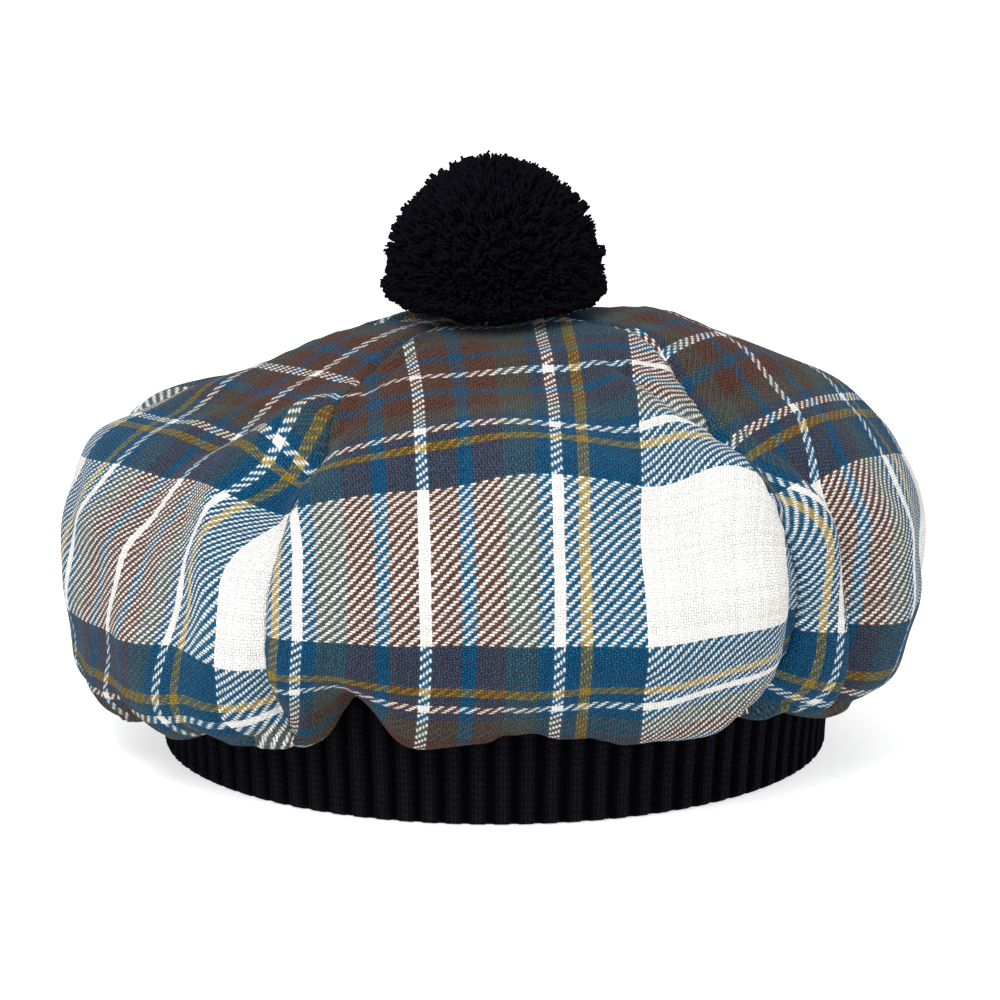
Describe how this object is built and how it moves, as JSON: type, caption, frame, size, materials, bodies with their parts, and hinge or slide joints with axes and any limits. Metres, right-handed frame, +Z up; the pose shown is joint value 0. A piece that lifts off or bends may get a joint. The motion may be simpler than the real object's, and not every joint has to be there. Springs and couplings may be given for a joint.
{
  "type": "tam o shanter",
  "caption": "Full, soft tartan wool bonnet gathered into a ribbed black knitted headband, with a black yarn pompom on top.",
  "frame": {"origin": "on the surface that the hat rests on, under the middle of the crown's plan", "axes": "+Z up, -Y towards the front of the hat as the picture shows it, +X to the right in a front view"},
  "size_m": [0.2541, 0.2526, 0.1793],
  "materials": {
    "tartan_wool": "brushed wool twill, matte",
    "black_knit": "ribbed wool knit, matte",
    "black_yarn": "cut wool yarn, matte"
  },
  "bodies": {
    "root": {"crown_gore_front": "tartan_wool", "crown_gore_right": "tartan_wool", "crown_gore_back_right": "tartan_wool", "crown_gore_back_left": "tartan_wool", "crown_gore_left": "tartan_wool", "headband": "black_knit", "pompom": "black_yarn"}
  },
  "joints": []
}
